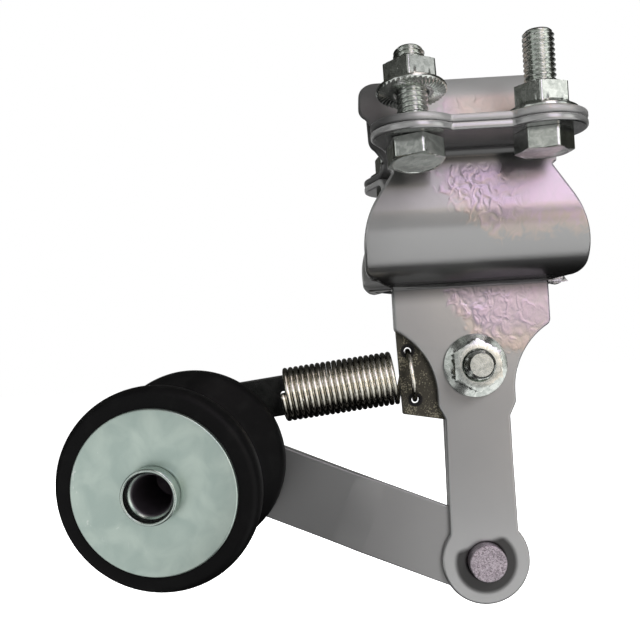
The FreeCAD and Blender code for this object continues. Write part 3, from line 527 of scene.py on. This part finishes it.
# threaded shank: radius falls from crest to root as a triangle wave of (height / pitch - angle / 360)
def threadGrid(low, high, columns=72, perTurn=10):
    f = fastener
    u = anglesRound(columns)
    h = np.linspace(low, high, int((high - low) / f["pitch"] * perTurn) + 1)[:, None]
    wave = np.abs(np.mod(h / f["pitch"] - u / (2 * math.pi), 1) * 2 - 1)
    ridge = np.clip((wave - f["crest"]) / f["flank"], 0, 1)
    radius = f["thread"] - f["threadDepth"] * (1 - ridge)
    radius = np.minimum(radius, f["thread"] - f["tipChamfer"] + high - h)
    radius = np.where(h <= low + f["runout"], f["thread"], radius)
    grid = ringRows(radius, h, u)
    rim = grid[-1:] * [f["tipShare"], f["tipShare"], 1]
    return np.concatenate([ringRows(0, low, u), grid, rim, ringRows(0, high, u)])


# hexagon head under a bearing face at height 0: radius is the least of the hexagon and of the chamfer's cone
def headGrid(columns=144):
    f = fastener
    u = anglesRound(columns)
    face = f["across"] / 2 - f["chamfer"]
    rise = np.array(f["headRows"])[:, None]
    rows = [ringRows(face * share, sunk - f["headHeight"], u) for share, sunk in f["headFace"]]
    rows.append(ringRows(np.minimum(hexRadius(u), face + rise / f["chamferRise"]), rise - f["headHeight"], u))
    rows += [ringRows(hexRadius(u) * share, 0, u) for share in f["headSeat"]]
    return np.concatenate(rows)


# flange nut: the greater of hexagon and cone, cut by the chamfer; slanted teeth ring its seat
def nutGrid(columns=400):
    f = fastener
    u = anglesRound(columns)
    bore, rim = f["bore"], f["flange"]
    rows = [ringRows(bore, f["boreChamfer"], u), ringRows(bore + f["boreChamfer"], f["seatRise"], u)]
    for radius in np.linspace(bore + f["toothStart"], rim - f["toothEnd"], f["toothRings"]):
        phase = np.mod(u * f["teeth"] / (2 * math.pi) + (radius - bore) * f["toothSlant"], 1)
        start, width = f["toothFade"]
        depth = f["toothDepth"] * min(1.0, (radius - bore - start) / width)
        rows.append(ringRows(radius, depth * np.clip(phase * f["toothRamp"], 0, 1), u))
    rows += [ringRows(rim + step, height, u) for step, height in f["seatEdge"]]
    slope = (rim - f["across"] / 2) / (f["coneHeight"] - f["flangeRim"])
    for height in f["nutRows"]:
        cone = rim - slope * (height - f["flangeRim"]) - f["coneInset"]
        cut = f["across"] / 2 - f["chamfer"] + (f["nutHeight"] - height) / f["chamferRise"]
        rows.append(ringRows(np.minimum(np.maximum(hexRadius(u), cone), cut), height, u))
    rows += [ringRows(bore + f["boreMouth"], f["nutHeight"], u),
             ringRows(bore, f["nutHeight"] - f["boreChamfer"], u)]
    return np.concatenate(rows)


def turnedPlace(origin, tilt, turn):
    return Matrix.Translation(Vector(origin) * mm) @ tilt @ Matrix.Rotation(math.radians(turn), 4, "Z")


def addFastener(node, shells, place):
    mesh = shellMesh(node, shells, place, fastener["smoothAngle"])
    piece = addPiece(node, mesh, "zinc")
    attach(piece, bodyOf(node))


def addBolt(node, place, length):
    shells = [gridShell(headGrid()), gridShell(threadGrid(-fastener["shankSunk"], length))]
    addFastener(node, shells, place)


def addNut(node, place):
    addFastener(node, [gridShell(nutGrid(), closedRows=True)], place)


# turns are those of each bolt and of its nut, in degrees; the loose bolt leans back and its nut stands high
clampBolts = {
    "length": 25.0, "across": 16.0, "reach": 33.0, "seat": 14.6, "gauge": 2.0,
    "turns": {
        "front_left": (-20, 22), "front_right": (-13, 17), "rear_left": (12, 40), "rear_right": (35, 8),
    },
    "loose": "front_left", "lean": 9.4, "drop": 1.2, "nutRise": 13.1,
}


def addClampBolts(c):
    upright = Matrix.Identity(4)
    for word, (boltTurn, nutTurn) in c["turns"].items():
        x = c["across"] * (1 if word.endswith("right") else -1)
        y = c["reach"] * (1 if word.startswith("rear") else -1)
        if word == c["loose"]:
            lean = Matrix.Rotation(math.radians(-c["lean"]), 4, "X")
            middle = turnedPlace((x, y, c["seat"] + c["gauge"]), lean, 0)
            boltPlace = middle @ turnedPlace((0, 0, -c["gauge"] - c["drop"]), upright, boltTurn)
            nutPlace = boltPlace @ turnedPlace((0, 0, c["nutRise"]), upright, nutTurn - boltTurn)
        else:
            boltPlace = turnedPlace((x, y, c["seat"]), upright, boltTurn)
            nutPlace = turnedPlace((x, y, c["seat"] + 2 * c["gauge"]), upright, nutTurn)
        addBolt("clamp_bolt_" + word, boltPlace, c["length"])
        addNut("clamp_nut_" + word, nutPlace)


def addCrossBolt(c):
    forward = Matrix.Rotation(math.radians(90), 4, "X")
    addBolt("cross_bolt", turnedPlace((0, c["face"], c["height"]), forward, 0), c["length"])
    addNut("cross_nut", turnedPlace((0, -c["face"], c["height"]), forward, c["nutTurn"]))


addClampBolts(clampBolts)
addCrossBolt(crossBolt)
print("bolts and nuts made")


# turned piece from corners (radius, height, rounding); heights run towards the front along its axis
def addTurned(node, corners, place, finish, columns=128, steps=5):
    profile = roundedProfile(corners, steps)
    grid = ringRows(profile[:, :1], profile[:, 1:], anglesRound(columns))
    mesh = shellMesh(node, [gridShell(grid, closedRows=True)], place)
    piece = addPiece(node, mesh, finish)
    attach(piece, bodyOf(node))


# a place whose third axis points along a direction
def axisPlace(origin, direction):
    turn = Vector(direction).to_track_quat("Z", "Y").to_matrix().to_4x4()
    return Matrix.Translation(Vector(origin) * mm) @ turn


# radius of the points that close a turned piece at its axis
pole = 0.001

pivot = {
    "height": -97.4, "radius": 5.2, "face": 3.6, "standOut": 4.5, "dish": 0.12, "dishShare": 0.55,
    "head": 8.0, "headHeight": 3.0,
}


def addPivotPin(p):
    front = p["face"] + p["standOut"]
    back = -p["face"]
    head = back - p["headHeight"]
    addTurned("pivot_pin", [
        (pole, front - p["dish"], 0), (p["radius"] * p["dishShare"], front - p["dish"] / 2, 0.6),
        (p["radius"], front, 0.42), (p["radius"], back, 0),
        (p["head"], back, 0.3), (p["head"], head, 0.5), (pole, head, 0),
    ], axisPlace((0, 0, p["height"]), (0, -1, 0)), "pin")


addPivotPin(pivot)

# land is the width of the rubber's rim, and waist the radius of the tube between its two rims
roller = {
    "armHalf": 1.5, "washer": 2.0, "play": 0.3, "disc": 1.5, "discRadius": 20.1, "discHole": 6.45,
    "width": 42.4, "inside": 9.86, "rim": 25.1, "rimStep": 1.2, "rimRise": 2.0, "rimRound": 2.4,
    "rimTaper": 0.1, "land": 3.6, "waist": 17.2, "waistWidth": 13.0,
    "axle": 6.2, "bore": 4.7, "boreDepth": 22.0, "boreCone": 2.3, "collar": 6.75, "collarLength": 3.6,
    "mouth": 6.0, "mouthDepth": 2.2, "mouthTaper": 0.25, "mouthStep": 1.0,
    "axleHead": 7.5, "axleHeadHeight": 1.2, "axleHeadTaper": 0.6,
}


def addRubber(r, place, back, front):
    # one half's corners from the end face to the middle; the other half mirrors them
    half = [
        (r["inside"], 0, 0), (r["rim"] - r["rimStep"], 0, 1.1), (r["rim"], r["rimRise"], 1.2),
        (r["rim"] - r["rimTaper"], r["rimRound"] + r["land"], 1.6),
        (r["waist"], (r["width"] - r["waistWidth"]) / 2, 2.6),
    ]
    corners = [(radius, back + step, rounding) for radius, step, rounding in half]
    corners += [(radius, front - step, rounding) for radius, step, rounding in reversed(half)]
    addTurned("roller_rubber", corners, place, "rubber", 192, 9)


def addDisc(node, r, place, low):
    high = low + r["disc"]
    addTurned(node, [
        (r["discHole"], low, 0.1), (r["discRadius"], low, 0.3), (r["discRadius"], high, 0.45),
        (r["discHole"], high, 0.2),
    ], place, "disc", 192)


def addAxle(r, place, collar):
    tip = collar + r["collarLength"]
    armBack = -r["armHalf"]
    headBack = armBack - r["axleHeadHeight"]
    mouthEnd, boreEnd = tip - r["mouthDepth"], tip - r["boreDepth"]
    addTurned("hollow_axle", [
        (pole, headBack, 0), (r["axleHead"] - r["axleHeadTaper"], headBack, 0.5),
        (r["axleHead"], armBack, 0.1), (r["axle"], armBack, 0), (r["axle"], collar, 0),
        (r["collar"], collar, 0.2), (r["collar"], tip, 0.45), (r["mouth"], tip, 0.3),
        (r["mouth"] - r["mouthTaper"], mouthEnd, 0.5), (r["bore"], mouthEnd - r["mouthStep"], 0.4),
        (r["bore"], boreEnd, 0.2), (pole, boreEnd - r["boreCone"], 0),
    ], place, "axle")


def addRoller(r):
    place = axisPlace(rollerOrigin, rollerAxis)
    discBack = r["armHalf"] + r["washer"] + r["play"]
    back = discBack + r["disc"]
    front = back + r["width"]
    addRubber(r, place, back, front)
    addDisc("roller_disc_rear", r, place, discBack)
    addDisc("roller_disc_front", r, place, front)
    addAxle(r, place, front + r["disc"] + r["play"])


addRoller(roller)

linkRivet = {
    "place": (-75.054, 0.768, -50.213), "armHalf": 1.5, "link": 2.0, "shank": 2.5, "head": 4.2, "crown": 0.7,
    "headHeight": 1.4,
}


def addLinkRivet(r):
    front, back = r["armHalf"], -r["armHalf"] - r["link"]
    crown = r["head"] * r["crown"]
    addTurned("link_rivet", [
        (pole, front + r["headHeight"], 0), (crown, front + r["headHeight"], 1.0), (r["head"], front, 0.1),
        (r["shank"], front, 0), (r["shank"], back, 0),
        (r["head"], back, 0.1), (crown, back - r["headHeight"], 1.0), (pole, back - r["headHeight"], 0),
    ], axisPlace(r["place"], rollerAxis), "dark", 64)


addLinkRivet(linkRivet)
print("turned pieces made")


# pressed sheets, each with its finish, its slot and the rounding of its edges in millimetres
sheets = {
    "front_bracket": ("frontPaint", "grey_paint", 0.75), "rear_bracket": ("plainPaint", "grey_paint", 0.6),
    "clamp_cap": ("capPaint", "grey_paint", 0.75), "swing_arm": ("armPaint", "grey_paint", 0.45),
    "spring_link": ("dark", "dark_gloss", 0.35), "spring_bracket": ("nickel", "black_nickel", 0.35),
}


sheetEdge = {"seam": 0.002, "flatAngle": 0.6, "sharpAngle": 30, "bevelAngle": 35, "segments": 4}


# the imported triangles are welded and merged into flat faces, so that a bevel rounds each edge; the wrap keeps
# the bevel's points within the solid
def addSheet(node, finish, rounding):
    e = sheetEdge
    original = frame["nodes"][node]
    mesh = original.data.copy()
    work = bmesh.new()
    work.from_mesh(mesh)
    bmesh.ops.remove_doubles(work, verts=work.verts, dist=e["seam"] * mm)
    flat = math.radians(e["flatAngle"])
    bmesh.ops.dissolve_limit(work, angle_limit=flat, verts=work.verts, edges=work.edges)
    work.to_mesh(mesh)
    work.free()
    mesh.shade_smooth()
    mesh.set_sharp_from_angle(angle=math.radians(e["sharpAngle"]))
    piece = addPiece(node, mesh, finish)
    bevel = piece.modifiers.new("edge", "BEVEL")
    bevel.width = rounding * mm
    bevel.segments = e["segments"]
    bevel.limit_method = "ANGLE"
    bevel.angle_limit = math.radians(e["bevelAngle"])
    bevel.use_clamp_overlap = False
    bevel.miter_outer = "MITER_ARC"
    keep = piece.modifiers.new("inside", "SHRINKWRAP")
    keep.target = original
    keep.wrap_method = "NEAREST_SURFACEPOINT"
    keep.wrap_mode = "INSIDE"
    weld = piece.modifiers.new("weld", "WELD")
    weld.merge_threshold = e["seam"] * mm
    normals = piece.modifiers.new("normals", "WEIGHTED_NORMAL")
    normals.keep_sharp = False
    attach(piece, bodyOf(node))


for node, (finish, slotName, rounding) in sheets.items():
    addSheet(node, finish, rounding)
print("pressed sheets made")


# extension spring: local x runs along its axis; angle 270 is the front, 0 the bottom, 180 the top
spring = {
    "start": (-54.2543, 1.1089, -47.7364), "towards": (0, 0, -42.4), "wire": 0.75, "radius": 6.95,
    "pitch": 1.56, "turns": 20.25, "firstAngle": 12, "openTurn": 5.0, "lastTurn": 250, "tang": 3.2,
    "bend": 1.3, "tangSteps": 4, "bendSteps": 6, "samples": 40, "around": 14, "smoothAngle": 60,
}


# coil: (x, r sin a, -r cos a); the open half turn moves x on by a smooth step 3ss - 2sss
# bend from the tang to the coil: P = (1-t)(1-t)A + 2t(1-t)C + ttB
def springPath(s):
    step = 360 / s["samples"]
    closeAngles = np.arange(s["firstAngle"], 360 * s["turns"], step)
    openAngles = np.arange(0, 180, step)
    lastAngles = np.arange(0, s["lastTurn"] + 1, step)
    share = openAngles / 180
    closeLength = s["pitch"] * s["turns"]
    x = np.concatenate([closeAngles / 360 * s["pitch"],
                        closeLength + s["openTurn"] * (3 * share ** 2 - 2 * share ** 3),
                        np.full(len(lastAngles), closeLength + s["openTurn"])])
    a = np.radians(270 + np.concatenate([closeAngles, 360 * s["turns"] + openAngles,
                                         360 * s["turns"] + 180 + lastAngles]))
    coil = np.stack([x, s["radius"] * np.sin(a), -s["radius"] * np.cos(a)], axis=-1)
    t = np.linspace(0, 1, s["bendSteps"], endpoint=False)[:, None]
    near, corner = np.array([0, s["bend"] - s["radius"], 0]), np.array([0, -s["radius"], 0])
    bend = (1 - t) ** 2 * near + 2 * t * (1 - t) * corner + t ** 2 * coil[0]
    tang = np.linspace([0, s["tang"], 0], near, s["tangSteps"], endpoint=False)
    return np.concatenate([tang, bend, coil])


# round wire along a path: P + w (cos v N + sin v B), N being the spring's axis made square to the path
def wireGrid(path, radius, around):
    tangent = np.gradient(path, axis=0)
    tangent /= np.linalg.norm(tangent, axis=-1, keepdims=True)
    axis = np.array([1.0, 0, 0])
    normal = axis - (tangent @ axis)[:, None] * tangent
    normal /= np.linalg.norm(normal, axis=-1, keepdims=True)
    side = np.cross(tangent, normal)
    v = anglesRound(around)[None, :, None]
    ring = np.cos(v) * normal[:, None] + np.sin(v) * side[:, None]
    middle = path[:, None] + 0 * ring
    return np.concatenate([middle[:1], middle + radius * ring, middle[-1:]])


def addSpring(s):
    start, towards = Vector(s["start"]), Vector(s["towards"])
    across = (towards - start).normalized()
    turn = Vector((1, 0, 0)).rotation_difference(across).to_matrix().to_4x4()
    place = Matrix.Translation(start * mm) @ turn
    grid = wireGrid(springPath(s), s["wire"], s["around"])
    mesh = shellMesh("extension_spring", [gridShell(grid)], place, s["smoothAngle"])
    piece = addPiece("extension_spring", mesh, "spring")
    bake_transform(piece)


addSpring(spring)
print("spring made")

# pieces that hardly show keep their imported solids
inner = {
    "pivot_bush": "bronze", "axle_washer": "zinc", "roller_core": "nylon", "roller_bush_front": "nylon",
    "roller_bush_rear": "nylon",
}
for node, finish in inner.items():
    for materialSlot in frame["nodes"][node].material_slots:
        materialSlot.material = finishes[finish]
print("inner pieces coloured:", len(inner))


# floor, backdrop, lamps, and cards that only reflections see, in metres; ground is where the lowest cards lie
ground = -0.149
stage = {
    "floor": -0.150, "size": 12.0, "pale": 0.80, "glow": 0.90, "lit": 0.02,
    "skyTop": 0.55, "skyLow": 0.0, "skyRise": (-0.1, 0.9), "aim": (-0.02, 0, -0.04),
    "lamps": {
        "key": {"place": (0.30, -0.64, 0.32), "size": (0.26, 0.26), "power": 3.2},
        "above": {"place": (0.10, -0.20, 0.60), "size": (0.40, 0.26), "power": 0.6},
        "behind": {"place": (-0.20, 0.76, 0.30), "size": (0.50, 0.50), "power": 7.0},
        "left": {"place": (-0.80, 0.22, 0.18), "size": (0.40, 0.40), "power": 4.5},
    },
    # a card fills three ranges, one of them flat; slope lowers its bottom edge from left to right
    "cards": {
        "lowNear": {"box": ((-0.03, 1), (-0.36, -0.03), (ground, ground)), "shade": (1.15, 1.15, 1.15)},
        "lowFar": {"box": ((-0.10, 0.13), (-1, -0.36), (ground, ground)), "shade": (0.45, 0.45, 0.45)},
        "lowRight": {"box": ((0.13, 1), (-1, -0.36), (ground, ground)), "shade": (1.35, 1.16, 1.04)},
        "lowGap": {"box": ((-0.10, -0.03), (-0.36, -0.03), (ground, ground)), "shade": (0.10, 0.10, 0.10)},
        "lowLeft": {"box": ((-1, -0.10), (-1, -0.28), (ground, ground)), "shade": (1.05, 1.05, 1.05)},
        "lowCorner": {"box": ((-1, -0.10), (-0.28, -0.03), (ground, ground)), "shade": (0.80, 0.80, 0.80)},
        "under": {"box": ((-1, 1), (-0.03, 0.40), (ground, ground)), "shade": (0.01, 0.01, 0.01)},
        "lowBack": {"box": ((-1, 1), (0.40, 0.9), (ground, ground)), "shade": (0.20, 0.20, 0.20)},
        "backLow": {"box": ((-1, 1), (0.9, 0.9), (ground, 0.10)), "shade": (0.45, 0.45, 0.45)},
        "back": {"box": ((-1, 1), (0.9, 0.9), (0.10, 0.9)), "shade": (0.06, 0.06, 0.055)},
        "leftDark": {"box": ((-0.9, -0.9), (-0.40, 0.9), (ground, 0.9)), "shade": (0.02, 0.02, 0.015)},
        "leftPale": {"box": ((-0.9, -0.9), (-1, -0.40), (ground, 0.5)), "shade": (0.75, 0.76, 0.75)},
        "rightDark": {"box": ((0.9, 0.9), (-0.35, 0.9), (ground, 0.9)), "shade": (0.03, 0.03, 0.025)},
        "rightPale": {"box": ((0.9, 0.9), (-1, -0.35), (ground, 0.40)), "shade": (1.7, 1.7, 1.65)},
        "front": {"box": ((-1, 1), (-1, -1), (ground, 0.9)), "shade": (0.40, 0.40, 0.40)},
        "middle": {"box": ((-0.5, 0.06), (-0.98, -0.98), (0.06, 0.90)), "shade": (0.60, 0.60, 0.58)},
        "facing": {"box": ((0.11, 0.40), (-0.98, -0.98), (-0.08, 0.02)), "shade": (0.75, 0.74, 0.74)},
        "cream": {
            "box": ((0.09, 0.60), (-0.97, -0.97), (0.03, 0.15)), "shade": (2.3, 1.98, 1.66), "slope": 0.06,
        },
        "lilac": {
            "box": ((0.07, 0.60), (-0.97, -0.97), (0.15, 0.9)), "shade": (2.25, 2.0, 2.42), "slope": 0.05,
        },
        "ceiling": {"box": ((-1, 1), (-1, 0.9), (0.9, 0.9)), "shade": (0.07, 0.07, 0.065)},
        "above": {"box": ((0.05, 0.5), (-0.97, -0.05), (0.89, 0.89)), "shade": (1.7, 1.5, 1.5)},
    },
}


def seenDirectly(look):
    path = look.node("ShaderNodeLightPath", {}, {})
    seen = Wire(look, path.outputs["Is Camera Ray"])
    for word in ("Is Glossy Ray", "Is Transmission Ray"):
        seen = seen.most(Wire(look, path.outputs[word]))
    return seen


def addFlat(name, corners):
    mesh = bpy.data.meshes.new(name)
    mesh.from_pydata(list(corners), [], [(0, 1, 2, 3)])
    flat = bpy.data.objects.new(name, mesh)
    bpy.context.scene.collection.objects.link(flat)
    material = bpy.data.materials.new(name)
    material.use_nodes = True
    mesh.materials.append(material)
    return flat, Look(material.node_tree)


def addFloor(s):
    size, low = s["size"], s["floor"]
    corners = ((-size, -size, low), (size, -size, low), (size, size, low), (-size, size, low))
    flat, look = addFlat("floor", corners)
    pale = look.surface("BsdfDiffuse", {"Color": grey(s["pale"])})
    dull = look.surface("BsdfDiffuse", {"Color": grey(s["lit"])})
    glow = look.surface("Emission", {"Color": grey(1), "Strength": s["glow"]})
    bright = look.surface("AddShader", {0: pale, 1: glow})
    mixed = look.surface("MixShader", {0: seenDirectly(look), 1: dull, 2: bright})
    look.node("ShaderNodeOutputMaterial", {}, {"Surface": mixed})


def addCard(name, card):
    (left, right), (near, far), (low, high) = card["box"]
    slope = card.get("slope", 0)
    if low == high:
        corners = ((left, near, low), (right, near, low), (right, far, low), (left, far, low))
    else:
        corners = ((left, near, low), (right, far, low - slope), (right, far, high), (left, near, high))
    flat, look = addFlat(name + "Card", corners)
    glow = look.surface("Emission", {"Color": rgb(*card["shade"]), "Strength": 1.0})
    look.node("ShaderNodeOutputMaterial", {}, {"Surface": glow})
    flat.visible_camera = False
    flat.visible_diffuse = False
    flat.visible_transmission = False
    flat.visible_shadow = False


def addWorld(s):
    world = bpy.data.worlds.new("studio")
    world.use_nodes = True
    bpy.context.scene.world = world
    look = Look(world.node_tree)
    direction = Wire(look, look.node("ShaderNodeTexCoord", {}, {}).outputs["Generated"])
    height = look.between(look.parts(direction)[2], *s["skyRise"])
    sky = look.blend(height, grey(s["skyLow"]), grey(s["skyTop"]))
    colour = look.blend(seenDirectly(look), sky, grey(1))
    light = look.surface("Background", {"Color": colour, "Strength": 1.0})
    look.node("ShaderNodeOutputWorld", {}, {"Surface": light})


def addLamp(name, lamp, target):
    data = bpy.data.lights.new(name, "AREA")
    data.shape = "RECTANGLE"
    data.size, data.size_y = lamp["size"]
    data.energy = lamp["power"]
    shine = bpy.data.objects.new(name, data)
    shine.location = lamp["place"]
    aim = Vector(target) - Vector(lamp["place"])
    shine.rotation_euler = aim.to_track_quat("-Z", "Y").to_euler()
    shine.visible_glossy = False
    bpy.context.scene.collection.objects.link(shine)


addFloor(stage)
addWorld(stage)
for name, card in stage["cards"].items():
    addCard(name, card)
for name, lamp in stage["lamps"].items():
    addLamp(name, lamp, stage["aim"])
bpy.context.scene.view_settings.view_transform = "Standard"
print("stage set")
